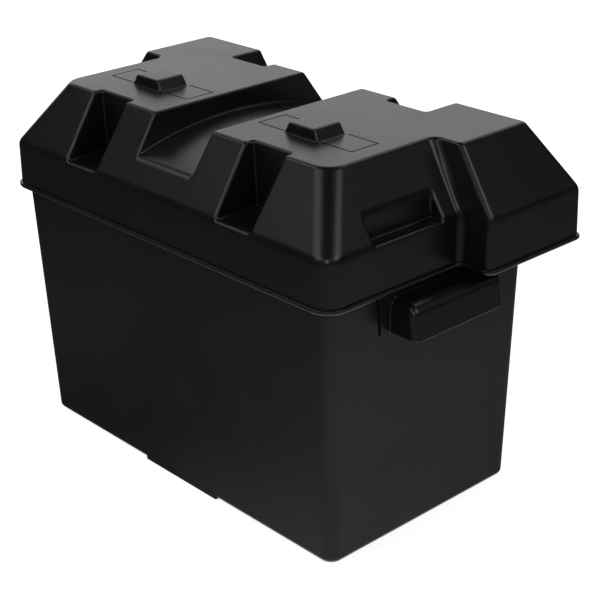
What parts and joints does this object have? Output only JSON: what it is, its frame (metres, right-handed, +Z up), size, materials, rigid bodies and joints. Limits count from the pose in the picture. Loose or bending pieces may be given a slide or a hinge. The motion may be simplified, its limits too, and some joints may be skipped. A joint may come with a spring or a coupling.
{
  "type": "vented battery box with deep cycle battery",
  "caption": "Moulded black battery box with a lift-off lid, strap channel, finger pockets and end handles, holding a deep cycle battery with vent caps, studs and a folding handle.",
  "frame": {"origin": "centre of the underside of the foot pad, in the middle of the box", "axes": "+X along the long side, -Y out of the long front face, +Z up out of the lid"},
  "size_m": [0.4178, 0.2235, 0.2897],
  "materials": {
    "box_plastic": "moulded polypropylene with a fine satin grain",
    "case_plastic": "moulded polypropylene container",
    "cover_plastic": "heat-sealed polypropylene cover",
    "cap_plastic": "moulded vent caps",
    "seal_rubber": "soft rubber",
    "porous_disc": "sintered porous polyethylene",
    "lead": null,
    "positive_paste": "lead dioxide paste on a lead grid",
    "negative_paste": "sponge lead on a lead grid",
    "separator_sheet": "microporous sheet",
    "steel": "stainless steel",
    "ring_red": "red polarity ring",
    "ring_black": "black polarity ring",
    "grip_rubber": "soft grip sleeve"
  },
  "bodies": {
    "tub": {"base_box": "box_plastic"},
    "battery": {"battery_case": "case_plastic", "battery_cover": "cover_plastic", "terminal_positive": "lead", "terminal_negative": "lead", "polarity_ring_positive": "ring_red", "polarity_ring_negative": "ring_black", "stud_positive": "steel", "stud_negative": "steel", "lock_washer_positive": "steel", "lock_washer_negative": "steel", "positive_plates": "positive_paste", "negative_plates": "negative_paste", "separators": "separator_sheet", "positive_straps": "lead", "negative_straps": "lead", "cell_connectors": "lead"},
    "lid": {"lid": "box_plastic"},
    "vent_cap_left": {"vent_cap_left": "cap_plastic", "vent_gaskets_left": "seal_rubber", "flame_discs_left": "porous_disc"},
    "vent_cap_right": {"vent_cap_right": "cap_plastic", "vent_gaskets_right": "seal_rubber", "flame_discs_right": "porous_disc"},
    "wing_nut_positive": {"wing_nut_positive": "steel"},
    "wing_nut_negative": {"wing_nut_negative": "steel"},
    "carry_handle": {"carry_handle": "cap_plastic", "handle_grip": "grip_rubber"}
  },
  "joints": [
    {"name": "battery_lift", "type": "slide", "parent": "tub", "child": "battery", "axis": [0, 0, 1], "range_m": [0, 0.21]},
    {"name": "lid_lift", "type": "slide", "parent": "battery", "child": "lid", "axis": [0, 0, 1], "range_m": [0, 0.15]},
    {"name": "vent_cap_left_lift", "type": "slide", "parent": "battery", "child": "vent_cap_left", "axis": [0, 0, 1], "range_m": [0, 0.02]},
    {"name": "vent_cap_right_lift", "type": "slide", "parent": "battery", "child": "vent_cap_right", "axis": [0, 0, 1], "range_m": [0, 0.02]},
    {"name": "carry_handle_swing", "type": "hinge", "parent": "battery", "child": "carry_handle", "pos_m": [0, 0.008, 0.223], "axis": [1, 0, 0], "range_deg": [0, 90]},
    {"name": "wing_nut_positive_spin", "type": "hinge", "parent": "battery", "child": "wing_nut_positive", "pos_m": [0.15, 0.05, 0.224], "axis": [0, 0, 1], "continuous": true},
    {"name": "wing_nut_negative_spin", "type": "hinge", "parent": "battery", "child": "wing_nut_negative", "pos_m": [-0.15, 0.05, 0.224], "axis": [0, 0, 1], "continuous": true}
  ]
}
